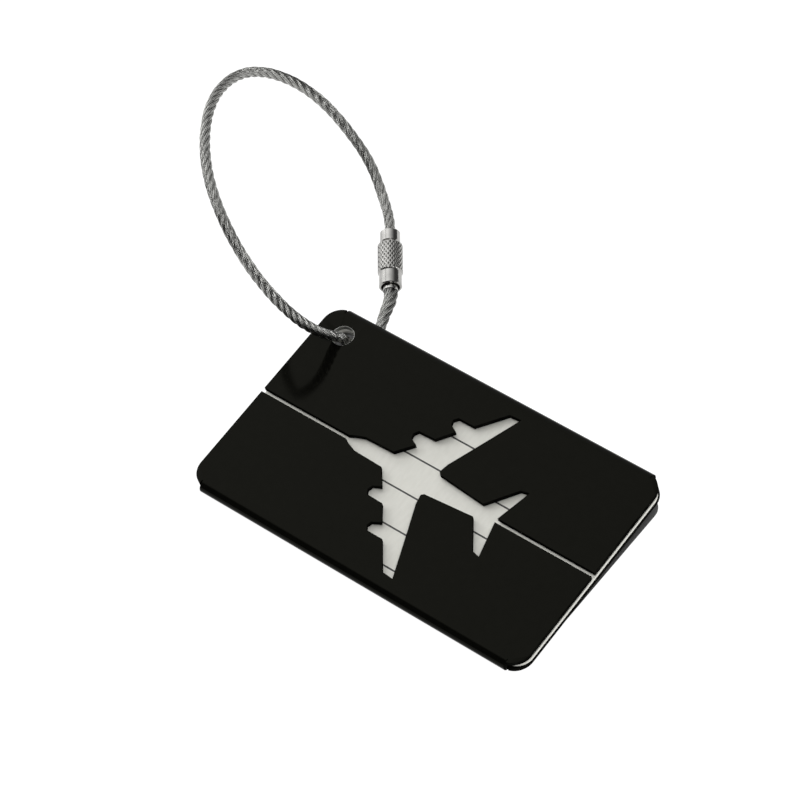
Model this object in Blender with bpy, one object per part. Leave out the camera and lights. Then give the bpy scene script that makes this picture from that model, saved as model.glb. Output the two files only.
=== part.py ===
"""Luggage tag with a screw-lock wire loop.

One sheet of black aluminium is folded over along both long sides into a flat sleeve. Its two front
flaps meet at a slit and share an aircraft-shaped window that shows the name card inside. A wire rope
loop passes up through a corner hole in sleeve and card; its ends are a threaded stud and a collar,
joined by a knurled barrel. The tag rests as it lies on a table: tipped up a little on the rope that
passes under it.
"""

from math import acos, cos, degrees, pi, radians, sin

import bmesh
import bpy
import numpy as np
from mathutils import Matrix, Vector

MM = 0.001

# Driving dimensions, in millimetres.
TAG_LENGTH = 80.0
TAG_WIDTH = 48.0
TAG_THICKNESS = 3.1
SHEET = 1.0
CORNER_RADIUS = 4.0
CORNER_INSET = 0.6
BEND_INSET = 2.9
SLIT_WIDTH = 0.9
NOTCH_WIDTH = 0.15
CARD_THICKNESS = 0.5
CARD_END_GAP = 0.2
CARD_SIDE_GAP = 0.5
CARD_HOLE_RADIUS = 2.3
RUN_GAP = 0.3
HOLE_RADIUS = 2.25
HOLE_INSET = 6.0
REST_TILT = radians(5.0)

ROPE_DIAMETER = 2.1
ROPE_STEP = 2.05
ROPE_LEAD = 2.5
ROPE_SIDES_RESOLUTION = 2
BARREL_END = Vector((-36.2, 34.7, 2.6))
BARREL_AXIS = Vector((0.614, -0.782, -0.108)).normalized()
KNURL_RADIUS = 2.53
KNURL_LENGTH = 7.0
SKIRT_RADIUS = 2.3
SKIRT_LENGTH = 3.1
STUD_HEAD_RADIUS = 2.05
STUD_HEAD_LENGTH = 2.8
THREAD_BORE_RADIUS = 1.85
THREAD_LENGTH = 4.6
LIP_BORE_RADIUS = 1.45
LIP_LENGTH = 0.6
RECESS_DEPTH = 1.6
COLLAR_NECK_RADIUS = 1.15
CHAMFER = 0.3
FINE_CHAMFER = 0.15

ARC_STEPS = 8
BEND_STEPS = 10
HOLE_STEPS = 40
TURNED_STEPS = 40
SPLINE_STEPS = 40
CUT_TOLERANCE = 1e-5
SMOOTH_ANGLE = radians(32)

# Values that follow from them.
HALF_LENGTH = TAG_LENGTH / 2
HALF_WIDTH = TAG_WIDTH / 2
BEND_RADIUS = TAG_THICKNESS / 2
FLAT_HALF = HALF_WIDTH - BEND_RADIUS
BEND_MID_RADIUS = BEND_RADIUS - SHEET / 2
BEND_LENGTH = pi * BEND_MID_RADIUS
CORNER_X = HALF_LENGTH - CORNER_RADIUS
CORNER_Y = HALF_WIDTH - CORNER_INSET - CORNER_RADIUS
CUT_X = HALF_LENGTH - BEND_INSET
CORNER_TURN = acos((CUT_X - CORNER_X) / CORNER_RADIUS)
CORNER_REACH = CORNER_Y + CORNER_RADIUS * sin(CORNER_TURN)
STRIP_X = CUT_X - NOTCH_WIDTH
HOLE_X = HOLE_INSET - HALF_LENGTH
HOLE_Y = HALF_WIDTH - HOLE_INSET
CARD_HALF_LENGTH = HALF_LENGTH - CARD_END_GAP
CARD_HALF_WIDTH = HALF_WIDTH - SHEET - CARD_SIDE_GAP
CARD_BOTTOM = (TAG_THICKNESS - CARD_THICKNESS) / 2
BARREL_LENGTH = KNURL_LENGTH + SKIRT_LENGTH
STUD_SHOULDER = BARREL_LENGTH + RUN_GAP
STUD_TOP = STUD_SHOULDER + STUD_HEAD_LENGTH
THREAD_END = BARREL_LENGTH - THREAD_LENGTH
CORE_RADIUS = THREAD_BORE_RADIUS - RUN_GAP

# Half outline of the aircraft window, nose to tail: x along the tag, y away from the slit.
AIRCRAFT_HALF = [
    (-18.6, 0.45), (-17.6, 1.0), (-15.5, 1.75), (-8.7, 1.95),
    (-5.9, 5.4), (-7.6, 6.2), (-7.9, 7.2), (-7.3, 8.2), (-3.5, 8.3),
    (-1.0, 11.7), (-2.8, 12.6), (-3.1, 13.6), (-2.4, 14.5), (1.3, 14.5),
    (5.7, 20.1), (8.3, 20.3), (4.4, 10.6), (2.1, 5.0), (1.7, 3.0), (2.2, 2.5),
    (13.2, 1.6), (17.6, 7.6), (19.4, 8.0), (17.5, 0.45),
]

# Route of the rope at rest, from the collar under the tag, up through the hole and round to the stud.
ROPE_ROUTE = [
    (-33.4, 29.4, 2.0), (-32.0, 24.1, 1.2), (-32.4, 21.6, 1.5), (-32.7, 20.4, 2.0),
    (-33.7, 18.1, 4.5), (-34.0, 17.6, 5.9), (-35.0, 15.5, 8.6), (-36.1, 13.3, 11.8),
    (-37.7, 11.4, 15.6), (-40.6, 10.0, 20.6), (-44.7, 9.6, 26.2), (-49.1, 10.3, 31.6),
    (-54.1, 12.5, 35.9), (-59.4, 16.1, 38.6), (-64.3, 20.8, 40.3), (-68.6, 26.3, 40.7),
    (-72.0, 32.3, 39.9), (-74.2, 38.6, 37.8), (-74.9, 44.7, 34.4), (-73.8, 49.8, 29.9),
    (-71.1, 53.6, 24.7), (-67.0, 55.6, 19.4), (-61.3, 55.6, 13.8), (-55.1, 53.7, 9.1),
    (-50.7, 50.9, 6.2),
]


def rest_matrix():
    """Place the level tag as it rests: tipped about X, its lower corners' edges at z = 0."""
    lift = Vector((0.0, TAG_THICKNESS / 2, CORNER_REACH)) * sin(REST_TILT) * MM
    return Matrix.Translation(lift) @ Matrix.Rotation(REST_TILT, 4, "X")


def hole_centre():
    """Middle of the corner hole at rest, in metres."""
    return rest_matrix() @ (Vector((HOLE_X, HOLE_Y, TAG_THICKNESS / 2)) * MM)


def clear_scene():
    for item in list(bpy.data.objects):
        bpy.data.objects.remove(item, do_unlink=True)


def make_material(name, colour, roughness, metallic):
    material = bpy.data.materials.new(name)
    material.use_nodes = True
    shader = material.node_tree.nodes["Principled BSDF"]
    shader.inputs["Base Color"].default_value = (*colour, 1.0)
    shader.inputs["Roughness"].default_value = roughness
    shader.inputs["Metallic"].default_value = metallic
    return material


def finish_mesh(name, mesh, matrix, material):
    """Link a finished mesh to the scene with smooth round faces and crisp edges."""
    mesh.shade_smooth()
    mesh.set_sharp_from_angle(angle=SMOOTH_ANGLE)
    mesh.materials.append(material)
    item = bpy.data.objects.new(name, mesh)
    item.matrix_world = matrix
    bpy.context.scene.collection.objects.link(item)
    return item


def arc(centre_x, centre_y, radius, start, end, steps):
    """Points along an arc, both ends included; angles in degrees."""
    angles = [radians(start + (end - start) * i / steps) for i in range(steps + 1)]
    return [(centre_x + radius * cos(a), centre_y + radius * sin(a)) for a in angles]


def flap_row(y):
    """Height on the flat blank of a point that ends up at width y on the folded flap."""
    return FLAT_HALF + BEND_LENGTH + FLAT_HALF - y


def blank_half():
    """Upper half of the blank's outline, from the right end to the left end."""
    back_corner = arc(CORNER_X, CORNER_Y, CORNER_RADIUS, 0, degrees(CORNER_TURN), ARC_STEPS)
    flap_corner = [(x, flap_row(y)) for x, y in reversed(back_corner)]
    notch = [(CUT_X, FLAT_HALF), (STRIP_X, FLAT_HALF)]
    notch += [(STRIP_X, FLAT_HALF + BEND_LENGTH), (CUT_X, FLAT_HALF + BEND_LENGTH)]
    right = back_corner + notch + flap_corner + [(HALF_LENGTH, flap_row(SLIT_WIDTH / 2))]
    window = [(x, flap_row(y)) for x, y in reversed(AIRCRAFT_HALF)]
    left = [(-x, row) for x, row in reversed(right)]
    return right + window + left


def add_loop(bm, points):
    verts = [bm.verts.new((x, y, 0.0)) for x, y in points]
    return [bm.edges.new((verts[i - 1], verts[i])) for i in range(len(verts))]


def blank_surface(loops):
    """Flat mesh that fills the first loop and leaves the other loops open as holes."""
    bm = bmesh.new()
    edges = []
    for points in loops:
        edges += add_loop(bm, points)
    bmesh.ops.triangle_fill(bm, use_beauty=True, edges=edges, normal=(0.0, 0.0, 1.0))
    return bm


def cut_bend_lines(bm):
    """Cut the blank across at each step of both bends, so it can be rolled round them."""
    for side in (-1, 1):
        for step in range(BEND_STEPS + 1):
            row = side * (FLAT_HALF + BEND_LENGTH * step / BEND_STEPS)
            geometry = bm.verts[:] + bm.edges[:] + bm.faces[:]
            bmesh.ops.bisect_plane(bm, geom=geometry, plane_co=(0, row, 0), plane_no=(0, 1, 0),
                                   dist=CUT_TOLERANCE)


def thicken(bm, thickness):
    """Turn a flat surface into the points and outward faces of a plate, from w = 0 to w = thickness."""
    bmesh.ops.recalc_face_normals(bm, faces=bm.faces[:])
    bm.verts.index_update()
    faces = [[v.index for v in face.verts] for face in bm.faces]
    if bm.faces[0].normal.z < 0:
        faces = [face[::-1] for face in faces]
    flat = [(v.co.x, v.co.y) for v in bm.verts]
    bm.free()
    count = len(flat)
    points = [(x, y, 0.0) for x, y in flat] + [(x, y, thickness) for x, y in flat]
    directed = {(face[i - 1], face[i]) for face in faces for i in range(len(face))}
    rim = [(a, b) for a, b in sorted(directed) if (b, a) not in directed]
    sides = [(a, b, b + count, a + count) for a, b in rim]
    bottoms = [face[::-1] for face in faces]
    tops = [[i + count for i in face] for face in faces]
    return points, bottoms + tops + sides


def fold(point):
    """Carry a point of the blank to its place on the folded sleeve."""
    x, row, depth = point
    side = 1.0 if row > 0 else -1.0
    past = abs(row) - FLAT_HALF
    on_corner = abs(x) > CUT_X - NOTCH_WIDTH / 2
    if past <= 0 or (on_corner and past < BEND_LENGTH / 2):
        return x, row, depth
    if past >= BEND_LENGTH or on_corner:
        return x, side * (FLAT_HALF - (past - BEND_LENGTH)), TAG_THICKNESS - depth
    angle = past / BEND_MID_RADIUS
    radius = BEND_RADIUS - depth
    return x, side * (FLAT_HALF + radius * sin(angle)), BEND_RADIUS - radius * cos(angle)


def mesh_from(name, points, faces):
    mesh = bpy.data.meshes.new(name)
    mesh.from_pydata([Vector(p) * MM for p in points], [], faces)
    mesh.validate()
    return mesh


def build_sleeve(material):
    upper = blank_half()
    lower = [(x, -row) for x, row in reversed(upper)]
    back_hole = arc(HOLE_X, HOLE_Y, HOLE_RADIUS, 0, 360, HOLE_STEPS)[:-1]
    flap_hole = [(x, flap_row(y)) for x, y in back_hole]
    bm = blank_surface([upper + lower, back_hole, flap_hole])
    cut_bend_lines(bm)
    points, faces = thicken(bm, SHEET)
    mesh = mesh_from("sleeve", [fold(p) for p in points], faces)
    return finish_mesh("sleeve", mesh, rest_matrix(), material)


def build_card(material):
    """Rounded card with a hole of its own at the sleeve's hole, so that the rope holds it in."""
    corner_x = CARD_HALF_LENGTH - CORNER_RADIUS
    corner_y = CARD_HALF_WIDTH - CORNER_RADIUS
    outline = []
    for quarter, (side_x, side_y) in enumerate([(1, 1), (-1, 1), (-1, -1), (1, -1)]):
        start = 90 * quarter
        outline += arc(side_x * corner_x, side_y * corner_y, CORNER_RADIUS, start, start + 90, ARC_STEPS)
    hole = arc(HOLE_X, HOLE_Y, CARD_HOLE_RADIUS, 0, 360, HOLE_STEPS)[:-1]
    points, faces = thicken(blank_surface([outline, hole]), CARD_THICKNESS)
    raised = [(x, y, z + CARD_BOTTOM) for x, y, z in points]
    return finish_mesh("name_card", mesh_from("name_card", raised, faces), rest_matrix(), material)


def turned_mesh(name, profile):
    """Revolve a closed profile of (radius, height) points about Z; points at radius 0 become poles."""
    points = []
    rings = []
    for radius, height in profile:
        count = TURNED_STEPS if radius > 0 else 1
        rings.append([len(points) + i for i in range(count)])
        for i in range(count):
            angle = 2 * pi * i / TURNED_STEPS
            points.append((radius * cos(angle), radius * sin(angle), height))
    faces = []
    for k, ring in enumerate(rings):
        after = rings[(k + 1) % len(rings)]
        if len(ring) == 1 and len(after) == 1:
            continue
        for i in range(TURNED_STEPS):
            j = (i + 1) % TURNED_STEPS
            corners = [ring[i % len(ring)], ring[j % len(ring)], after[j % len(after)], after[i % len(after)]]
            faces.append(list(dict.fromkeys(corners)))
    return mesh_from(name, points, faces)


def barrel_matrix():
    """Frame of the lock: origin at the barrel's open end, Z pointing up its axis to the stud."""
    turn = (-BARREL_AXIS).to_track_quat("Z", "Y")
    return Matrix.Translation(BARREL_END * MM) @ turn.to_matrix().to_4x4()


def build_barrel(material):
    """Knurled sleeve nut: wide knurled band, plain skirt, thread bore, inner lip and end recess."""
    top = BARREL_LENGTH
    profile = [
        (LIP_BORE_RADIUS, RECESS_DEPTH),
        (THREAD_BORE_RADIUS, RECESS_DEPTH),
        (THREAD_BORE_RADIUS, 0.0),
        (SKIRT_RADIUS - FINE_CHAMFER, 0.0),
        (SKIRT_RADIUS, FINE_CHAMFER),
        (SKIRT_RADIUS, SKIRT_LENGTH),
        (KNURL_RADIUS - CHAMFER, SKIRT_LENGTH),
        (KNURL_RADIUS, SKIRT_LENGTH + CHAMFER),
        (KNURL_RADIUS, top - CHAMFER),
        (KNURL_RADIUS - CHAMFER, top),
        (THREAD_BORE_RADIUS, top),
        (THREAD_BORE_RADIUS, RECESS_DEPTH + LIP_LENGTH),
        (LIP_BORE_RADIUS, RECESS_DEPTH + LIP_LENGTH),
    ]
    return finish_mesh("lock_barrel", turned_mesh("lock_barrel", profile), barrel_matrix(), material)


def build_stud(material):
    """Threaded stud: plain head outside the barrel, thread core running down inside it."""
    profile = [
        (0.0, THREAD_END),
        (CORE_RADIUS - FINE_CHAMFER, THREAD_END),
        (CORE_RADIUS, THREAD_END + FINE_CHAMFER),
        (CORE_RADIUS, STUD_SHOULDER),
        (STUD_HEAD_RADIUS, STUD_SHOULDER),
        (STUD_HEAD_RADIUS, STUD_TOP - CHAMFER),
        (STUD_HEAD_RADIUS - CHAMFER, STUD_TOP),
        (0.0, STUD_TOP),
    ]
    return finish_mesh("stud", turned_mesh("stud", profile), barrel_matrix(), material)


def build_collar(material):
    """Crimped collar: its head is caught behind the barrel's lip, its neck runs out through it."""
    head_bottom = RECESS_DEPTH + LIP_LENGTH + RUN_GAP
    head_top = THREAD_END - RUN_GAP
    profile = [
        (0.0, RUN_GAP),
        (COLLAR_NECK_RADIUS, RUN_GAP),
        (COLLAR_NECK_RADIUS, head_bottom),
        (CORE_RADIUS, head_bottom),
        (CORE_RADIUS, head_top - FINE_CHAMFER),
        (CORE_RADIUS - FINE_CHAMFER, head_top),
        (0.0, head_top),
    ]
    return finish_mesh("collar", turned_mesh("collar", profile), barrel_matrix(), material)


def spline_through(points, step):
    """Even points, about one step apart, on the natural cubic spline through the given points."""
    knots = np.array(points, dtype=float)
    gaps = np.linalg.norm(np.diff(knots, axis=0), axis=1)
    count = len(knots)
    system = np.eye(count)
    load = np.zeros((count, 3))
    slopes = np.diff(knots, axis=0) / gaps[:, None]
    for i in range(1, count - 1):
        system[i, i - 1:i + 2] = gaps[i - 1], 2 * (gaps[i - 1] + gaps[i]), gaps[i]
        load[i] = 6 * (slopes[i] - slopes[i - 1])
    bend = np.linalg.solve(system, load)
    fine = []
    for i, gap in enumerate(gaps):
        for u in np.arange(SPLINE_STEPS) / SPLINE_STEPS:
            v = 1 - u
            cubic = ((v**3 - v) * bend[i] + (u**3 - u) * bend[i + 1]) * gap**2 / 6
            fine.append(v * knots[i] + u * knots[i + 1] + cubic)
    fine = np.array(fine + [knots[-1]])
    along = np.concatenate([[0.0], np.cumsum(np.linalg.norm(np.diff(fine, axis=0), axis=1))])
    stations = np.linspace(0, along[-1], round(along[-1] / step) + 1)
    return np.array([[np.interp(s, along, fine[:, k]) for k in range(3)] for s in stations])


def rope_path():
    """Centreline of the rope, face to face with the collar and the stud, square to both."""
    end = BARREL_END - BARREL_AXIS * (STUD_TOP + RUN_GAP)
    lead_in = [BARREL_END, BARREL_END + BARREL_AXIS * ROPE_LEAD]
    lead_out = [end - BARREL_AXIS * ROPE_LEAD, end]
    return spline_through(lead_in + ROPE_ROUTE + lead_out, ROPE_STEP)


def build_rope(material):
    path = rope_path()
    origin = hole_centre()
    data = bpy.data.curves.new("rope", "CURVE")
    data.dimensions = "3D"
    data.bevel_depth = ROPE_DIAMETER / 2 * MM
    data.bevel_resolution = ROPE_SIDES_RESOLUTION
    data.use_fill_caps = True
    line = data.splines.new("POLY")
    line.points.add(len(path) - 1)
    for point, place in zip(line.points, path):
        point.co = (*(Vector(place) * MM - origin), 1.0)
    line.use_smooth = True
    data.materials.append(material)
    item = bpy.data.objects.new("rope", data)
    item.location = origin
    bpy.context.scene.collection.objects.link(item)
    return item


def build_pivot():
    """Empty in the middle of the hole, round which the whole loop swings."""
    pivot = bpy.data.objects.new("loop_pivot", None)
    pivot.location = hole_centre()
    bpy.context.scene.collection.objects.link(pivot)
    return pivot


def hang_on(pivot, piece):
    """Parent a piece to the pivot without moving it."""
    piece.parent = pivot
    piece.matrix_parent_inverse = Matrix.Translation(-pivot.location)


def main():
    clear_scene()
    build_sleeve(make_material("black_anodised", (0.012, 0.012, 0.011), 0.18, 0.0))
    build_card(make_material("white_card", (0.78, 0.77, 0.74), 0.6, 0.0))
    loop = [
        build_rope(make_material("steel_rope", (0.55, 0.55, 0.54), 0.35, 1.0)),
        build_stud(make_material("stud_steel", (0.72, 0.72, 0.70), 0.22, 1.0)),
        build_collar(make_material("collar_steel", (0.66, 0.66, 0.64), 0.28, 1.0)),
        build_barrel(make_material("barrel_steel", (0.70, 0.70, 0.68), 0.25, 1.0)),
    ]
    pivot = build_pivot()
    for piece in loop:
        hang_on(pivot, piece)


main()
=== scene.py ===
"""Finished look of the luggage tag: folded black sleeve, name card, stranded rope and screw lock."""

from math import acos, cos, degrees, pi, radians, sin

import bmesh
import bpy
import numpy as np
from mathutils import Matrix, Vector


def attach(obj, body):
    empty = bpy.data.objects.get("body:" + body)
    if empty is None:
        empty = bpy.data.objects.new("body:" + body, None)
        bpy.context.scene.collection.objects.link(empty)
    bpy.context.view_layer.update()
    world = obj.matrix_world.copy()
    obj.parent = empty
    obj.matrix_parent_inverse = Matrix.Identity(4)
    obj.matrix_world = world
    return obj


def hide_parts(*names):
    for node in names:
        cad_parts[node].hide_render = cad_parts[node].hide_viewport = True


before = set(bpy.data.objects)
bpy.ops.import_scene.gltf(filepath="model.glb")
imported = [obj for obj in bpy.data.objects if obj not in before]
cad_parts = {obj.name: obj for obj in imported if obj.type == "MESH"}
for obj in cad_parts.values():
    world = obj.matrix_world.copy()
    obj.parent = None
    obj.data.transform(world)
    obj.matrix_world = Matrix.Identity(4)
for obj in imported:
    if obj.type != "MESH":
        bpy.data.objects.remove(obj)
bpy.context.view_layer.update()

MM = 0.001

# The camera of the photograph: place in metres, line of sight and up direction.
CAMERA_PLACE = Vector((0.28103, -0.24848, 0.50379))
CAMERA_FORWARD = Vector((-0.46617, 0.40995, -0.78398))
CAMERA_UP = Vector((-0.42638, 0.67234, 0.60511))
CAMERA_LENS = 148.59

# The studio's sky: how far along each direction it turns from dark to pale, and its two levels.
LEFT_OF_CAMERA = (-0.775, -0.616, 0.0)
LEFT_FADE = (-0.65, 0.25)
BEHIND_TAG = (0.0, 1.0, 0.0)
BEHIND_FADE = (-0.35, -0.05)
SKY_DARK = 0.08
SKY_PALE = 1.75

# The floor: half its side and the radii between which its glow fades, in metres; the glow itself.
FLOOR_HALF = 4.0
POOL_RADIUS = 0.18
POOL_FADE = 0.4
FLOOR_GLOW = 0.97

# Softboxes: name, azimuth and elevation in degrees, distance and size in metres, watts.
SOFTBOXES = [
    ("key", -25, 60, 1.0, 0.5, 3.3),
    ("rim", 20, 6, 0.8, 0.3, 2.0),
    ("glint", 195, 30, 0.8, 0.3, 0.8),
]

# The part's own dimensions, in millimetres. FERRULE_END counts up the lock from its open end.
TAG_LENGTH = 80.0
TAG_WIDTH = 48.0
TAG_THICKNESS = 3.1
SHEET = 1.0
CORNER_RADIUS = 4.0
CORNER_INSET = 0.6
BEND_INSET = 2.9
SLIT_WIDTH = 0.9
NOTCH_WIDTH = 0.15
HOLE_RADIUS = 2.25
HOLE_INSET = 6.0
REST_TILT = radians(5.0)
CARD_THICKNESS = 0.7
CARD_SIDE_GAP = 0.4
CARD_CORNER_RADIUS = 3.4
CARD_HOLE_RADIUS = 2.3
CARD_LIFT = 0.05
ROPE_DIAMETER = 2.2
ROPE_LEAD = 2.5
BARREL_END = Vector((-36.2, 34.7, 2.6))
BARREL_AXIS = Vector((0.614, -0.782, -0.108)).normalized()
KNURL_RADIUS = 2.53
KNURL_LENGTH = 7.0
SKIRT_RADIUS = 2.3
SKIRT_LENGTH = 3.1
STUD_HEAD_RADIUS = 2.05
STUD_HEAD_LENGTH = 2.8
BORE_RADIUS = 1.85
THREAD_LENGTH = 4.6
LIP_BORE_RADIUS = 1.45
LIP_LENGTH = 0.6
RECESS_DEPTH = 1.6
NECK_RADIUS = 1.35
FERRULE_RADIUS = 1.52
FERRULE_END = -0.95
RUN_GAP = 0.3

# Finer detail that only the look needs. Lays are millimetres per turn, right-handed if positive.
SHADOW_INSET = 0.6
EDGE_BEVEL = 0.1
CHAMFER = 0.3
FINE_CHAMFER = 0.15
ROPE_BORE_RADIUS = 1.1
ROPE_BORE_DEPTH = 1.2
CRIMP_BORE_RADIUS = 1.45
CRIMP_BORE_DEPTH = 1.5
ROPE_RUN_IN = 0.8
STRANDS = 6
STRAND_LAY = 12.24
WIRES = 6
WIRE_LAY = -40.0
WIRES_ACROSS = 9
CORE_SIDES = 8
SWELL = 0.32
SWELL_LENGTH = 7.0
WIRE_SIDES = 5
WIRE_STEP = 0.35
KNURL_STARTS = 18
KNURL_PITCH = 1.15
KNURL_DEPTH = 0.16
KNURL_SAMPLES = 8
THREAD_PITCH = 0.5
THREAD_DEPTH = 0.2
RULE_PITCH = 7.35
RULE_WIDTH = 0.35
RULE_MARGIN = 5.0
TOP_RULE = 15.0
ARC_STEPS = 12
BEND_STEPS = 16
HOLE_STEPS = 64
SPLINE_STEPS = 40
CUT_TOLERANCE = 1e-5
SQUARE_EDGE = radians(50)
SHARP_EDGE = radians(35)

# Values that follow from them.
HALF_LENGTH = TAG_LENGTH / 2
HALF_WIDTH = TAG_WIDTH / 2
BEND_RADIUS = TAG_THICKNESS / 2
FLAT_HALF = HALF_WIDTH - BEND_RADIUS
BEND_MID_RADIUS = BEND_RADIUS - SHEET / 2
BEND_LENGTH = pi * BEND_MID_RADIUS
CORNER_X = HALF_LENGTH - CORNER_RADIUS
CORNER_Y = HALF_WIDTH - CORNER_INSET - CORNER_RADIUS
CUT_X = HALF_LENGTH - BEND_INSET
CORNER_TURN = acos((CUT_X - CORNER_X) / CORNER_RADIUS)
CORNER_REACH = CORNER_Y + CORNER_RADIUS * sin(CORNER_TURN)
STRIP_X = CUT_X - NOTCH_WIDTH
HOLE_X = HOLE_INSET - HALF_LENGTH
HOLE_Y = HALF_WIDTH - HOLE_INSET
CARD_HALF_WIDTH = HALF_WIDTH - SHEET - CARD_SIDE_GAP
BARREL_LENGTH = KNURL_LENGTH + SKIRT_LENGTH
STUD_SHOULDER = BARREL_LENGTH + RUN_GAP
STUD_TOP = STUD_SHOULDER + STUD_HEAD_LENGTH
THREAD_END = BARREL_LENGTH - THREAD_LENGTH
CORE_RADIUS = BORE_RADIUS - RUN_GAP / 2
TURNED_STEPS = KNURL_STARTS * KNURL_SAMPLES
WIRE_PITCH = ROPE_DIAMETER / WIRES_ACROSS
WIRE_RADIUS = 0.45 * WIRE_PITCH
STRAND_CORE_RADIUS = 0.5 * WIRE_PITCH
ROPE_CORE_RADIUS = 1.5 * WIRE_PITCH
STRAND_RING_RADIUS = 3 * WIRE_PITCH
BARE_WALL_RADIUS = HOLE_RADIUS + 1.2 * EDGE_BEVEL

# Half outline of the aircraft window, nose to tail: x along the tag, y away from the slit.
AIRCRAFT_HALF = [
    (-18.6, 0.45), (-17.6, 1.0), (-15.5, 1.75), (-8.7, 1.95),
    (-5.9, 5.4), (-7.6, 6.2), (-7.9, 7.2), (-7.3, 8.2), (-3.5, 8.3),
    (-1.0, 11.7), (-2.8, 12.6), (-3.1, 13.6), (-2.4, 14.5), (1.3, 14.5),
    (5.7, 20.1), (8.3, 20.3), (4.4, 10.6), (2.1, 5.0), (1.7, 3.0), (2.2, 2.5),
    (13.2, 1.6), (17.6, 7.6), (19.4, 8.0), (17.5, 0.45),
]

# Route of the rope at rest, from the collar under the tag, up through the hole and round to the stud.
ROPE_ROUTE = [
    (-33.4, 29.4, 2.0), (-32.0, 24.1, 1.2), (-32.4, 21.6, 1.5), (-32.7, 20.4, 2.0),
    (-33.7, 18.1, 4.5), (-34.0, 17.6, 5.9), (-35.0, 15.5, 8.6), (-36.1, 13.3, 11.8),
    (-37.7, 11.4, 15.6), (-40.6, 10.0, 20.6), (-44.7, 9.6, 26.2), (-49.1, 10.3, 31.6),
    (-54.1, 12.5, 35.9), (-59.4, 16.1, 38.6), (-64.3, 20.8, 40.3), (-68.6, 26.3, 40.7),
    (-72.0, 32.3, 39.9), (-74.2, 38.6, 37.8), (-74.9, 44.7, 34.4), (-73.8, 49.8, 29.9),
    (-71.1, 53.6, 24.7), (-67.0, 55.6, 19.4), (-61.3, 55.6, 13.8), (-55.1, 53.7, 9.1),
    (-50.7, 50.9, 6.2),
]


def link(item):
    bpy.context.scene.collection.objects.link(item)
    return item


# ---- Camera, light and floor ----


def build_camera():
    right = CAMERA_FORWARD.cross(CAMERA_UP).normalized()
    up = right.cross(CAMERA_FORWARD).normalized()
    turn = Matrix((right, up, -CAMERA_FORWARD.normalized())).transposed()
    data = bpy.data.cameras.new("camera")
    data.lens = CAMERA_LENS
    item = link(bpy.data.objects.new("camera", data))
    item.matrix_world = Matrix.Translation(CAMERA_PLACE) @ turn.to_4x4()
    bpy.context.scene.camera = item


def build_softbox(name, azimuth, elevation, distance, size, watts):
    """Square soft light aimed at the object; azimuth is counted from +X towards +Y."""
    a = radians(azimuth)
    e = radians(elevation)
    away = Vector((cos(a) * cos(e), sin(a) * cos(e), sin(e)))
    data = bpy.data.lights.new(name, "AREA")
    data.size = size
    data.energy = watts
    item = link(bpy.data.objects.new(name, data))
    item.location = away * distance
    item.rotation_euler = away.to_track_quat("Z", "Y").to_euler()


def build_world():
    """Dim studio with one pale part, behind the tag on the camera's left, for the metal to reflect."""
    world = bpy.data.worlds.new("studio")
    world.use_nodes = True
    bpy.context.scene.world = world
    tree = world.node_tree
    coords = tree.nodes.new("ShaderNodeTexCoord")

    def fade(direction, ends):
        """0 where the sky falls short of the first end along a direction, 1 past the second."""
        along = tree.nodes.new("ShaderNodeVectorMath")
        along.operation = "DOT_PRODUCT"
        along.inputs[1].default_value = direction
        ramp = tree.nodes.new("ShaderNodeMapRange")
        ramp.inputs["From Min"].default_value = ends[0]
        ramp.inputs["From Max"].default_value = ends[1]
        tree.links.new(coords.outputs["Generated"], along.inputs[0])
        tree.links.new(along.outputs["Value"], ramp.inputs["Value"])
        return ramp.outputs["Result"]

    both = tree.nodes.new("ShaderNodeMath")
    both.operation = "MULTIPLY"
    tree.links.new(fade(LEFT_OF_CAMERA, LEFT_FADE), both.inputs[0])
    tree.links.new(fade(BEHIND_TAG, BEHIND_FADE), both.inputs[1])
    level = tree.nodes.new("ShaderNodeMapRange")
    level.inputs["To Min"].default_value = SKY_DARK
    level.inputs["To Max"].default_value = SKY_PALE
    tree.links.new(both.outputs[0], level.inputs["Value"])
    tree.links.new(level.outputs["Result"], tree.nodes["Background"].inputs["Strength"])
    tree.nodes["Background"].inputs["Color"].default_value = (1.0, 1.0, 1.0, 1.0)


def build_floor(material):
    mesh = bpy.data.meshes.new("floor")
    signs = [(-1, -1), (1, -1), (1, 1), (-1, 1)]
    corners = [(x * FLOOR_HALF, y * FLOOR_HALF, 0.0) for x, y in signs]
    mesh.from_pydata(corners, [], [(0, 1, 2, 3)])
    mesh.materials.append(material)
    link(bpy.data.objects.new("floor", mesh))


# ---- Materials ----


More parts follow.
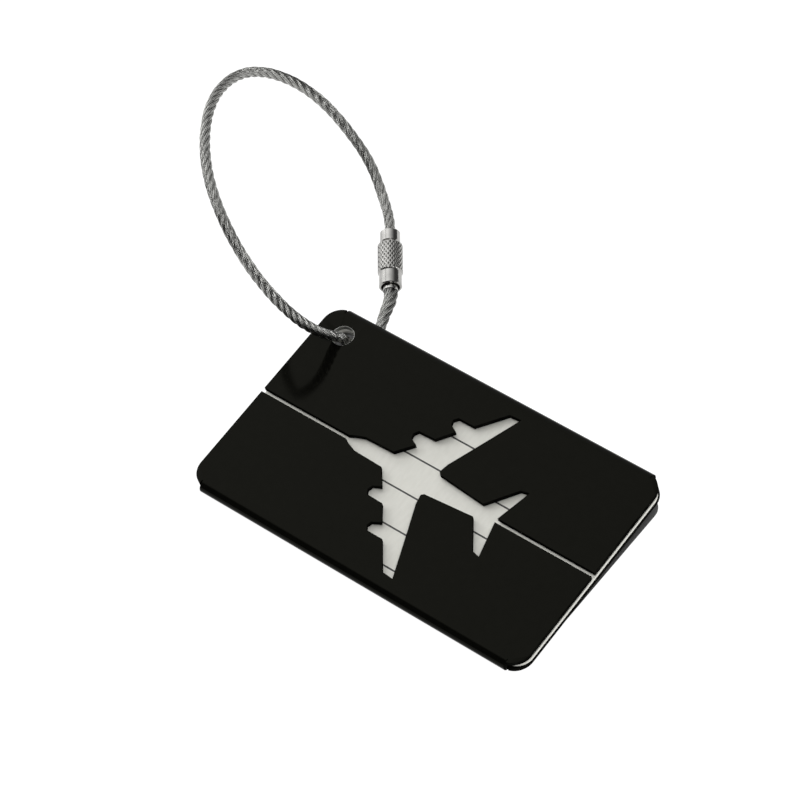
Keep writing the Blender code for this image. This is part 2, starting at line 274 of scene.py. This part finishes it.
class Surface:
    """A Principled material with short helpers for its procedural nodes."""

    def __init__(self, name, colour, roughness, metallic=0.0):
        self.material = bpy.data.materials.new(name)
        self.material.use_nodes = True
        self.tree = self.material.node_tree
        self.shader = self.tree.nodes["Principled BSDF"]
        self.colour = (*colour, 1.0)
        self.shader.inputs["Base Color"].default_value = self.colour
        self.shader.inputs["Roughness"].default_value = roughness
        self.shader.inputs["Metallic"].default_value = metallic
        self.place = self.tree.nodes.new("ShaderNodeTexCoord").outputs["Object"]

    def join(self, output, target):
        self.tree.links.new(output, target)

    def vector_math(self, operation, first, second=(0.0, 0.0, 0.0)):
        """Outputs of a vector operation on a linked first vector and a constant second one."""
        node = self.tree.nodes.new("ShaderNodeVectorMath")
        node.operation = operation
        node.inputs[1].default_value = second
        self.join(first, node.inputs[0])
        return node.outputs

    def split_place(self):
        """Outputs X, Y and Z of the point's place in the piece's own frame."""
        node = self.tree.nodes.new("ShaderNodeSeparateXYZ")
        self.join(self.place, node.inputs[0])
        return node.outputs

    def noise(self, per_mm, detail=3.0, stretch=(1.0, 1.0, 1.0)):
        """Noise with that many grains per millimetre, stretched along an axis where stretch is low."""
        texture = self.tree.nodes.new("ShaderNodeTexNoise")
        texture.inputs["Scale"].default_value = per_mm / MM
        texture.inputs["Detail"].default_value = detail
        self.join(self.vector_math("MULTIPLY", self.place, stretch)["Vector"], texture.inputs["Vector"])
        return texture.outputs["Fac"]

    def spread(self, source, low, high, start=0.3, stop=0.7):
        """Map a value's start to stop range to low to high."""
        node = self.tree.nodes.new("ShaderNodeMapRange")
        node.inputs["From Min"].default_value = start
        node.inputs["From Max"].default_value = stop
        node.inputs["To Min"].default_value = low
        node.inputs["To Max"].default_value = high
        self.join(source, node.inputs["Value"])
        return node.outputs["Result"]

    def math(self, operation, first, second=0.0):
        node = self.tree.nodes.new("ShaderNodeMath")
        node.operation = operation
        for value, socket in zip((first, second), node.inputs):
            if isinstance(value, (int, float)):
                socket.default_value = value
            else:
                self.join(value, socket)
        return node.outputs[0]

    def blend_colour(self, factor, second):
        """Mix the surface's colour so far with a second one by factor."""
        node = self.tree.nodes.new("ShaderNodeMix")
        node.data_type = "RGBA"
        first, last = [item for item in node.inputs if item.type == "RGBA"]
        mixed = next(item for item in node.outputs if item.type == "RGBA")
        socket = self.shader.inputs["Base Color"]
        if socket.is_linked:
            self.join(socket.links[0].from_socket, first)
        else:
            first.default_value = self.colour
        last.default_value = (*second, 1.0)
        self.join(factor, node.inputs["Factor"])
        self.join(mixed, socket)

    def vary_roughness(self, source, low, high):
        self.join(self.spread(source, low, high), self.shader.inputs["Roughness"])

    def bump(self, height, depth_mm, strength=1.0):
        node = self.tree.nodes.new("ShaderNodeBump")
        node.inputs["Distance"].default_value = depth_mm * MM
        node.inputs["Strength"].default_value = strength
        self.join(height, node.inputs["Height"])
        self.join(node.outputs["Normal"], self.shader.inputs["Normal"])


def black_anodised():
    """Glossy black anodising with a faint grain, slight polish marks and hardly any tint."""
    surface = Surface("black_anodised", (0.0018, 0.0018, 0.0014), 0.1)
    surface.shader.inputs["Specular IOR Level"].default_value = 0.05
    surface.shader.inputs["Specular Tint"].default_value = (1.0, 1.0, 0.8, 1.0)
    surface.vary_roughness(surface.noise(0.08), 0.07, 0.12)
    surface.blend_colour(surface.spread(surface.noise(0.6), 0.0, 0.5), (0.003, 0.003, 0.0024))
    surface.bump(surface.noise(3.0), 0.001, 0.3)
    return surface.material


def worn_edge():
    """Anodising rubbed thin along the sheet's edges."""
    surface = Surface("worn_edge", (0.002, 0.002, 0.0017), 0.3)
    surface.shader.inputs["Specular IOR Level"].default_value = 0.0
    surface.blend_colour(surface.spread(surface.noise(0.5), 0.0, 1.0), (0.008, 0.008, 0.007))
    surface.vary_roughness(surface.noise(2.0), 0.22, 0.4)
    return surface.material


def bare_aluminium():
    """Cut wall of the rope hole, with drilling marks round it."""
    surface = Surface("bare_aluminium", (0.8, 0.8, 0.76), 0.3, metallic=1.0)
    rings = surface.noise(1.5, stretch=(0.3, 0.3, 8.0))
    surface.vary_roughness(rings, 0.2, 0.42)
    surface.blend_colour(surface.spread(rings, 0.0, 0.7), (0.45, 0.45, 0.43))
    surface.bump(rings, 0.01)
    return surface.material


def ruled_card():
    """White card stock with fibres and evenly ruled dark lines, short of its ends and its top."""
    surface = Surface("ruled_card", (0.72, 0.715, 0.66), 0.55)
    fibres = surface.noise(1.2, detail=6.0, stretch=(1.0, 0.35, 1.0))
    surface.blend_colour(surface.spread(fibres, 0.0, 0.5), (0.64, 0.635, 0.58))
    place = surface.split_place()
    rows = surface.math("DIVIDE", place["Y"], RULE_PITCH * MM)
    nearest = surface.math("ABSOLUTE", surface.math("SUBTRACT", surface.math("FRACT", rows), 0.5))
    line = surface.math("LESS_THAN", nearest, RULE_WIDTH / RULE_PITCH / 2)
    from_middle = surface.math("ABSOLUTE", place["X"])
    inside = surface.math("LESS_THAN", from_middle, (HALF_LENGTH - RULE_MARGIN) * MM)
    below_top = surface.math("LESS_THAN", place["Y"], TOP_RULE * MM)
    ruled = surface.math("MULTIPLY", surface.math("MULTIPLY", line, inside), below_top)
    surface.blend_colour(ruled, (0.03, 0.03, 0.03))
    surface.vary_roughness(fibres, 0.45, 0.65)
    surface.bump(fibres, 0.02, 0.6)
    return surface.material


def steel(name, colour, roughness, per_mm=1.0, dulling=0.72):
    """Bright steel with fine streaks, smudges and slightly uneven gloss."""
    surface = Surface(name, colour, roughness, metallic=1.0)
    streaks = surface.noise(per_mm, stretch=(1.0, 1.0, 6.0))
    dull = tuple(c * dulling for c in colour)
    surface.blend_colour(surface.spread(surface.noise(per_mm / 2), 0.0, 0.8), dull)
    surface.vary_roughness(streaks, roughness * 0.7, roughness * 1.5)
    surface.bump(streaks, 0.004)
    return surface


def rope_steel():
    """Bright wire with random dull patches, darker within a few millimetres of the crimped end."""
    surface = steel("rope_steel", (0.56, 0.56, 0.54), 0.2, per_mm=4.0, dulling=0.5)
    # Darker towards the crimped end, fading out between one and two swell lengths from it.
    offset = surface.vector_math("DISTANCE", surface.place, BARREL_END * MM)["Value"]
    near = surface.spread(offset, 0.8, 0.0, start=SWELL_LENGTH * MM, stop=2 * SWELL_LENGTH * MM)
    surface.blend_colour(near, (0.24, 0.24, 0.23))
    return surface.material


def rope_gap_shade():
    """Steel painted dark as shade, for the cores deep between the rope's wires."""
    return steel("rope_gap_shade", (0.1, 0.1, 0.096), 0.5, per_mm=4.0).material


def knurled_steel():
    """Bright steel with painted shade darkening the bottom of the knurl's pits."""
    surface = steel("barrel_steel", (0.42, 0.415, 0.4), 0.14)
    across = surface.vector_math("MULTIPLY", surface.place, (1.0, 1.0, 0.0))["Vector"]
    radius = surface.vector_math("LENGTH", across)["Value"]
    top = KNURL_RADIUS * MM
    pit = surface.spread(radius, 0.85, 0.0, start=top - KNURL_DEPTH * MM, stop=top)
    height = surface.split_place()["Z"]
    on_band = surface.math("GREATER_THAN", height, (SKIRT_LENGTH + CHAMFER) * MM)
    outside = surface.math("GREATER_THAN", radius, (SKIRT_RADIUS + FINE_CHAMFER / 2) * MM)
    # Painted shade: the knurl's pits are darkened towards their bottom, on the knurled band only.
    painted_pit_shade = surface.math("MULTIPLY", surface.math("MULTIPLY", pit, on_band), outside)
    surface.blend_colour(painted_pit_shade, (0.05, 0.05, 0.045))
    return surface.material


def studio_floor():
    """White light table: its painted glow makes a bright pool that fades to dark far outside the
    picture, and is switched off inside the tag's outline, which paints a shadow under the tag.
    """
    surface = Surface("studio_floor", (0.15, 0.15, 0.15), 0.6)
    surface.shader.inputs["Specular IOR Level"].default_value = 0.0
    surface.shader.inputs["Emission Color"].default_value = (1.0, 1.0, 1.0, 1.0)
    away = surface.vector_math("LENGTH", surface.place)["Value"]
    faded = surface.spread(away, 0.0, 1.0, start=POOL_RADIUS, stop=POOL_FADE)
    surface.blend_colour(faded, (0.05, 0.05, 0.05))
    place = surface.split_place()
    # Painted shadow: the glow is switched off inside the tag's outline, shrunk by SHADOW_INSET, so the
    # floor under the tag stays dark.
    squares = []
    for axis, corner in (("X", CORNER_X), ("Y", CORNER_Y)):
        past = surface.math("SUBTRACT", surface.math("ABSOLUTE", place[axis]), corner * MM)
        squares.append(surface.math("POWER", surface.math("MAXIMUM", past), 2.0))
    reach = surface.math("SQRT", surface.math("ADD", *squares))
    outside = surface.math("GREATER_THAN", reach, (CORNER_RADIUS - SHADOW_INSET) * MM)
    fading = surface.spread(faded, FLOOR_GLOW, 0.0, start=0.0, stop=1.0)
    glow = surface.math("MULTIPLY", outside, fading)
    surface.join(glow, surface.shader.inputs["Emission Strength"])
    return surface.material


# ---- Sleeve and card ----


def rest_matrix():
    """Place the level tag as it rests: tipped about X, its lower corners' edges at z = 0."""
    lift = Vector((0.0, TAG_THICKNESS / 2, CORNER_REACH)) * sin(REST_TILT) * MM
    return Matrix.Translation(lift) @ Matrix.Rotation(REST_TILT, 4, "X")


def finish_piece(name, mesh, matrix, body, node, materials):
    """Put a mesh in the scene as a piece that rides on a body in place of a CAD node."""
    mesh.shade_smooth()
    for material in materials:
        mesh.materials.append(material)
    item = link(bpy.data.objects.new(name, mesh))
    item.matrix_world = matrix
    weighted = item.modifiers.new("weighted_normals", "WEIGHTED_NORMAL")
    weighted.keep_sharp = True
    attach(item, body)
    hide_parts(node)
    return item


def arc(centre_x, centre_y, radius, start, end, steps):
    """Points along an arc, both ends included; angles in degrees."""
    angles = [radians(start + (end - start) * i / steps) for i in range(steps + 1)]
    return [(centre_x + radius * cos(a), centre_y + radius * sin(a)) for a in angles]


def flap_row(y):
    """Height on the flat blank of a point that ends up at width y on the folded flap."""
    return FLAT_HALF + BEND_LENGTH + FLAT_HALF - y


def blank_half():
    """Upper half of the blank's outline, from the right end to the left end."""
    back_corner = arc(CORNER_X, CORNER_Y, CORNER_RADIUS, 0, degrees(CORNER_TURN), ARC_STEPS)
    flap_corner = [(x, flap_row(y)) for x, y in reversed(back_corner)]
    notch = [(CUT_X, FLAT_HALF), (STRIP_X, FLAT_HALF)]
    notch += [(STRIP_X, FLAT_HALF + BEND_LENGTH), (CUT_X, FLAT_HALF + BEND_LENGTH)]
    right = back_corner + notch + flap_corner + [(HALF_LENGTH, flap_row(SLIT_WIDTH / 2))]
    window = [(x, flap_row(y)) for x, y in reversed(AIRCRAFT_HALF)]
    left = [(-x, row) for x, row in reversed(right)]
    return right + window + left


def flat_surface(loops):
    """Flat mesh that fills the first loop and leaves the other loops open as holes."""
    bm = bmesh.new()
    edges = []
    for points in loops:
        verts = [bm.verts.new((x, y, 0.0)) for x, y in points]
        edges += [bm.edges.new((verts[i - 1], verts[i])) for i in range(len(verts))]
    bmesh.ops.triangle_fill(bm, use_beauty=True, edges=edges, normal=(0.0, 0.0, 1.0))
    return bm


def cut_bend_lines(bm):
    """Cut the blank across at each step of both bends, so it can be rolled round them."""
    for side in (-1, 1):
        for step in range(BEND_STEPS + 1):
            row = side * (FLAT_HALF + BEND_LENGTH * step / BEND_STEPS)
            geometry = bm.verts[:] + bm.edges[:] + bm.faces[:]
            bmesh.ops.bisect_plane(bm, geom=geometry, plane_co=(0, row, 0), plane_no=(0, 1, 0),
                                   dist=CUT_TOLERANCE)


def thicken(bm, thickness):
    """Thicken a flat surface up to thickness: the plate's points, its flat faces and its sides."""
    bmesh.ops.recalc_face_normals(bm, faces=bm.faces[:])
    bm.verts.index_update()
    faces = [[v.index for v in face.verts] for face in bm.faces]
    if bm.faces[0].normal.z < 0:
        faces = [face[::-1] for face in faces]
    flat = [(v.co.x, v.co.y) for v in bm.verts]
    bm.free()
    count = len(flat)
    points = [(x, y, 0.0) for x, y in flat] + [(x, y, thickness) for x, y in flat]
    directed = {(face[i - 1], face[i]) for face in faces for i in range(len(face))}
    rim = [(a, b) for a, b in sorted(directed) if (b, a) not in directed]
    sides = [(a, b, b + count, a + count) for a, b in rim]
    bottoms = [face[::-1] for face in faces]
    tops = [[i + count for i in face] for face in faces]
    return points, bottoms + tops, sides


def fold(point):
    """Carry a point of the blank to its place on the folded sleeve."""
    x, row, depth = point
    side = 1.0 if row > 0 else -1.0
    past = abs(row) - FLAT_HALF
    on_corner = abs(x) > CUT_X - NOTCH_WIDTH / 2
    if past <= 0 or (on_corner and past < BEND_LENGTH / 2):
        return x, row, depth
    if past >= BEND_LENGTH or on_corner:
        return x, side * (FLAT_HALF - (past - BEND_LENGTH)), TAG_THICKNESS - depth
    angle = past / BEND_MID_RADIUS
    radius = BEND_RADIUS - depth
    return x, side * (FLAT_HALF + radius * sin(angle)), BEND_RADIUS - radius * cos(angle)


def bevelled_mesh(name, points, flats, sides, width, edge_material):
    """Mesh in metres with rounded square edges; the sides and the rounds take the edge material."""
    bm = bmesh.new()
    verts = [bm.verts.new(Vector(p) * MM) for p in points]
    for face in flats:
        bm.faces.new([verts[i] for i in face])
    for face in sides:
        bm.faces.new([verts[i] for i in face]).material_index = edge_material
    bm.normal_update()
    square = [e for e in bm.edges if e.calc_face_angle() > SQUARE_EDGE]
    bmesh.ops.bevel(bm, geom=square, offset=width * MM, offset_type="OFFSET", segments=2,
                    profile=0.5, affect="EDGES", clamp_overlap=True, material=edge_material)
    mesh = bpy.data.meshes.new(name)
    bm.to_mesh(mesh)
    bm.free()
    return mesh


def build_sleeve():
    upper = blank_half()
    lower = [(x, -row) for x, row in reversed(upper)]
    back_hole = arc(HOLE_X, HOLE_Y, HOLE_RADIUS, 0, 360, HOLE_STEPS)[:-1]
    flap_hole = [(x, flap_row(y)) for x, y in back_hole]
    bm = flat_surface([upper + lower, back_hole, flap_hole])
    cut_bend_lines(bm)
    points, flats, sides = thicken(bm, SHEET)
    mesh = bevelled_mesh("folded_sleeve", [fold(p) for p in points], flats, sides, EDGE_BEVEL, 1)
    centre = Vector((HOLE_X, HOLE_Y)) * MM
    for face in mesh.polygons:
        if (face.center.xy - centre).length < BARE_WALL_RADIUS * MM:
            face.material_index = 2
    materials = [black_anodised(), worn_edge(), bare_aluminium()]
    finish_piece("folded_sleeve", mesh, rest_matrix(), "sleeve", "sleeve", materials)


def build_card():
    outline = []
    for quarter, (side_x, side_y) in enumerate([(1, 1), (-1, 1), (-1, -1), (1, -1)]):
        corner_x = side_x * (HALF_LENGTH - CARD_CORNER_RADIUS)
        corner_y = side_y * (CARD_HALF_WIDTH - CARD_CORNER_RADIUS)
        start = 90 * quarter
        outline += arc(corner_x, corner_y, CARD_CORNER_RADIUS, start, start + 90, ARC_STEPS)
    hole = arc(HOLE_X, HOLE_Y, CARD_HOLE_RADIUS, 0, 360, HOLE_STEPS)[:-1]
    points, flats, sides = thicken(flat_surface([outline, hole]), CARD_THICKNESS)
    raised = [(x, y, z + SHEET + CARD_LIFT) for x, y, z in points]
    mesh = bevelled_mesh("ruled_card", raised, flats, sides, EDGE_BEVEL / 2, 0)
    finish_piece("ruled_card", mesh, rest_matrix(), "card", "name_card", [ruled_card()])


# ---- Screw lock ----


def barrel_matrix():
    """Frame of the lock: origin at the barrel's open end, Z pointing up its axis to the stud."""
    turn = (-BARREL_AXIS).to_track_quat("Z", "Y")
    return Matrix.Translation(BARREL_END * MM) @ turn.to_matrix().to_4x4()


def turned_mesh(name, rings):
    """Closed surface through rings of (radii, height); one radius per step round, or a single 0."""
    bm = bmesh.new()
    loops = []
    for radii, height in rings:
        if np.ndim(radii) == 0 and radii == 0:
            loops.append([bm.verts.new((0.0, 0.0, height * MM))])
            continue
        around = np.broadcast_to(radii, TURNED_STEPS)
        loop = []
        for i, radius in enumerate(around):
            angle = 2 * pi * i / TURNED_STEPS
            place = (radius * cos(angle) * MM, radius * sin(angle) * MM, height * MM)
            loop.append(bm.verts.new(place))
        loops.append(loop)
    for k, loop in enumerate(loops):
        after = loops[(k + 1) % len(loops)]
        if len(loop) == 1 and len(after) == 1:
            continue
        for i in range(TURNED_STEPS):
            j = (i + 1) % TURNED_STEPS
            corners = [loop[i % len(loop)], loop[j % len(loop)],
                       after[j % len(after)], after[i % len(after)]]
            bm.faces.new(list(dict.fromkeys(corners)))
    bmesh.ops.recalc_face_normals(bm, faces=bm.faces[:])
    sharp = [e for e in bm.edges if e.calc_face_angle() > SHARP_EDGE]
    for edge in sharp:
        edge.smooth = False
    mesh = bpy.data.meshes.new(name)
    bm.to_mesh(mesh)
    bm.free()
    return mesh


def knurl_rings():
    """Rings of the knurled band: two crossing sets of raised helical ridges, fading at both ends."""
    count = round(KNURL_LENGTH / KNURL_PITCH * KNURL_SAMPLES)
    turns = np.arange(TURNED_STEPS) / KNURL_SAMPLES
    rings = []
    for step in range(count + 1):
        height = KNURL_LENGTH * step / count
        rise = height / KNURL_PITCH
        ridge = np.maximum(np.cos(2 * pi * (turns + rise)), np.cos(2 * pi * (turns - rise)))
        depth = KNURL_DEPTH * (1 - ridge) / 2
        edge = max(0.0, CHAMFER - min(height, KNURL_LENGTH - height))
        rings.append((np.minimum(KNURL_RADIUS - depth, KNURL_RADIUS - edge), SKIRT_LENGTH + height))
    return rings


def build_barrel():
    """Knurled sleeve nut: wide knurled band, plain skirt, thread bore, inner lip and end recess."""
    top = BARREL_LENGTH
    rings = [
        (LIP_BORE_RADIUS, RECESS_DEPTH),
        (BORE_RADIUS, RECESS_DEPTH),
        (BORE_RADIUS, FINE_CHAMFER),
        (BORE_RADIUS + FINE_CHAMFER / 2, 0.0),
        (SKIRT_RADIUS - FINE_CHAMFER, 0.0),
        (SKIRT_RADIUS, FINE_CHAMFER),
        (SKIRT_RADIUS, SKIRT_LENGTH),
    ]
    rings += knurl_rings()
    rings += [
        (BORE_RADIUS + FINE_CHAMFER, top),
        (BORE_RADIUS, top - FINE_CHAMFER),
        (BORE_RADIUS, RECESS_DEPTH + LIP_LENGTH),
        (LIP_BORE_RADIUS, RECESS_DEPTH + LIP_LENGTH),
    ]
    mesh = turned_mesh("knurled_barrel", rings)
    return finish_piece("knurled_barrel", mesh, barrel_matrix(), "barrel", "lock_barrel",
                        [knurled_steel()])


def build_stud():
    """Threaded stud with a chamfered head, which the rope runs into."""
    rings = [(0.0, THREAD_END), (CORE_RADIUS - THREAD_DEPTH, THREAD_END)]
    for turn in range(round((STUD_SHOULDER - THREAD_END) / THREAD_PITCH) - 1):
        root = THREAD_END + THREAD_PITCH * (turn + 0.5)
        rings.append((CORE_RADIUS - THREAD_DEPTH, root))
        rings.append((CORE_RADIUS, root + THREAD_PITCH / 2))
    rings += [
        (CORE_RADIUS - THREAD_DEPTH, STUD_SHOULDER),
        (STUD_HEAD_RADIUS - FINE_CHAMFER, STUD_SHOULDER),
        (STUD_HEAD_RADIUS, STUD_SHOULDER + FINE_CHAMFER),
        (STUD_HEAD_RADIUS, STUD_TOP - CHAMFER),
        (STUD_HEAD_RADIUS - CHAMFER, STUD_TOP),
        (ROPE_BORE_RADIUS + FINE_CHAMFER, STUD_TOP),
        (ROPE_BORE_RADIUS, STUD_TOP - FINE_CHAMFER),
        (ROPE_BORE_RADIUS, STUD_TOP - ROPE_BORE_DEPTH),
        (0.0, STUD_TOP - ROPE_BORE_DEPTH),
    ]
    mesh = turned_mesh("threaded_stud", rings)
    metal = steel("stud_steel", (0.44, 0.435, 0.42), 0.12).material
    return finish_piece("threaded_stud", mesh, barrel_matrix(), "loop", "stud", [metal])


def build_collar():
    """Crimped collar: head behind the barrel's lip, neck through it, ferrule over the rope's end."""
    head_bottom = RECESS_DEPTH + LIP_LENGTH + RUN_GAP / 2
    head_top = THREAD_END - RUN_GAP
    ferrule_top = RECESS_DEPTH - RUN_GAP
    rings = [
        (0.0, FERRULE_END + CRIMP_BORE_DEPTH),
        (CRIMP_BORE_RADIUS, FERRULE_END + CRIMP_BORE_DEPTH),
        (CRIMP_BORE_RADIUS, FERRULE_END),
        (FERRULE_RADIUS, FERRULE_END + FINE_CHAMFER / 2),
        (FERRULE_RADIUS, ferrule_top),
        (NECK_RADIUS, ferrule_top),
        (NECK_RADIUS, head_bottom),
        (CORE_RADIUS, head_bottom),
        (CORE_RADIUS, head_top - FINE_CHAMFER),
        (CORE_RADIUS - FINE_CHAMFER, head_top),
        (0.0, head_top),
    ]
    mesh = turned_mesh("crimped_collar", rings)
    metal = steel("collar_steel", (0.44, 0.435, 0.42), 0.18).material
    return finish_piece("crimped_collar", mesh, barrel_matrix(), "loop", "collar", [metal])


# ---- Rope ----


def spline_through(points, step):
    """Even points, about one step apart, on the natural cubic spline through the given points."""
    knots = np.array(points, dtype=float)
    gaps = np.linalg.norm(np.diff(knots, axis=0), axis=1)
    count = len(knots)
    system = np.eye(count)
    load = np.zeros((count, 3))
    slopes = np.diff(knots, axis=0) / gaps[:, None]
    for i in range(1, count - 1):
        system[i, i - 1:i + 2] = gaps[i - 1], 2 * (gaps[i - 1] + gaps[i]), gaps[i]
        load[i] = 6 * (slopes[i] - slopes[i - 1])
    bend = np.linalg.solve(system, load)
    fine = []
    for i, gap in enumerate(gaps):
        for u in np.arange(SPLINE_STEPS) / SPLINE_STEPS:
            v = 1 - u
            cubic = ((v**3 - v) * bend[i] + (u**3 - u) * bend[i + 1]) * gap**2 / 6
            fine.append(v * knots[i] + u * knots[i + 1] + cubic)
    fine = np.array(fine + [knots[-1]])
    along = np.concatenate([[0.0], np.cumsum(np.linalg.norm(np.diff(fine, axis=0), axis=1))])
    stations = np.linspace(0, along[-1], round(along[-1] / step) + 1)
    return np.array([[np.interp(s, along, fine[:, k]) for k in range(3)] for s in stations])


def rope_path():
    """Centreline of the rope, run a little way into the collar and the stud."""
    end = BARREL_END - BARREL_AXIS * (STUD_TOP - ROPE_RUN_IN)
    lead_in = [BARREL_END, BARREL_END + BARREL_AXIS * ROPE_LEAD]
    lead_out = [end - BARREL_AXIS * ROPE_LEAD, end]
    return spline_through(lead_in + ROPE_ROUTE + lead_out, WIRE_STEP)


def carried_frames(path):
    """Two unit vectors across the path at each point, carried along it without twisting."""
    tangents = np.gradient(path, axis=0)
    tangents /= np.linalg.norm(tangents, axis=1)[:, None]
    side = np.cross(tangents[0], (0.0, 0.0, 1.0))
    sides = []
    for tangent in tangents:
        side = side - tangent * side.dot(tangent)
        side /= np.linalg.norm(side)
        sides.append(side)
    sides = np.array(sides)
    return sides, np.cross(tangents, sides)


def lengths_along(path):
    steps = np.linalg.norm(np.diff(path, axis=0), axis=1)
    return np.concatenate([[0.0], np.cumsum(steps)])


def helix_round(path, radius, lay, phase):
    """Path that winds round another one; a positive lay winds right-handed."""
    sides, ups = carried_frames(path)
    angle = (2 * pi * lengths_along(path) / lay + phase)[:, None]
    return path + radius * (np.cos(angle) * sides + np.sin(angle) * ups)


def tube(path, radius, sides_count, verts, faces):
    """Add a closed round tube, whose radius may vary, along a path to lists of points and faces."""
    sides, ups = carried_frames(path)
    base = len(verts)
    for centre, side, up, reach in zip(path, sides, ups, np.broadcast_to(radius, len(path))):
        for k in range(sides_count):
            angle = 2 * pi * k / sides_count
            verts.append(centre + reach * (cos(angle) * side + sin(angle) * up))
    for i in range(len(path) - 1):
        for k in range(sides_count):
            after = (k + 1) % sides_count
            low = base + i * sides_count
            high = low + sides_count
            faces.append((low + k, low + after, high + after, high + k))
    last = base + (len(path) - 1) * sides_count
    faces.append([base + k for k in reversed(range(sides_count))])
    faces.append([last + k for k in range(sides_count)])


def laid_wires(path, swell):
    """Points and faces of all the rope's tubes, the cores (painted dark as shade) first, and the cores'
    face count.
    """
    strand_ring = (STRAND_RING_RADIUS * swell)[:, None]
    wire_ring = (WIRE_PITCH * swell)[:, None]
    strands = [helix_round(path, strand_ring, STRAND_LAY, 2 * pi * k / STRANDS) for k in range(STRANDS)]
    verts = []
    faces = []
    tube(path, ROPE_CORE_RADIUS * swell, CORE_SIDES, verts, faces)
    for strand in strands:
        tube(strand, STRAND_CORE_RADIUS * swell, CORE_SIDES, verts, faces)
    core_faces = len(faces)
    for strand in strands:
        for wire in range(WIRES):
            wire_path = helix_round(strand, wire_ring, WIRE_LAY, 2 * pi * wire / WIRES)
            tube(wire_path, WIRE_RADIUS * swell, WIRE_SIDES, verts, faces)
    return verts, faces, core_faces


def build_rope(on_rope):
    """Wire rope: six strands of six wires laid round cores painted dark as shade, thicker towards the
    crimped end.
    """
    path = rope_path()
    along = lengths_along(path)
    swell = 1 + SWELL * np.exp(-((along / SWELL_LENGTH) ** 2))
    verts, faces, core_faces = laid_wires(path, swell)
    mesh = bpy.data.meshes.new("wire_rope")
    mesh.from_pydata([Vector(v) * MM for v in verts], [], faces)
    # The cores take the second material: painted shade between the wires.
    for face in mesh.polygons[:core_faces]:
        face.material_index = 1
    materials = [rope_steel(), rope_gap_shade()]
    rope = finish_piece("wire_rope", mesh, Matrix(), "loop", "rope", materials)


# ---- The whole scene ----

build_camera()
build_world()
build_floor(studio_floor())
for softbox in SOFTBOXES:
    build_softbox(*softbox)
build_rope([build_stud(), build_collar(), build_barrel()])
build_sleeve()
build_card()
bpy.context.scene.view_settings.view_transform = "Standard"
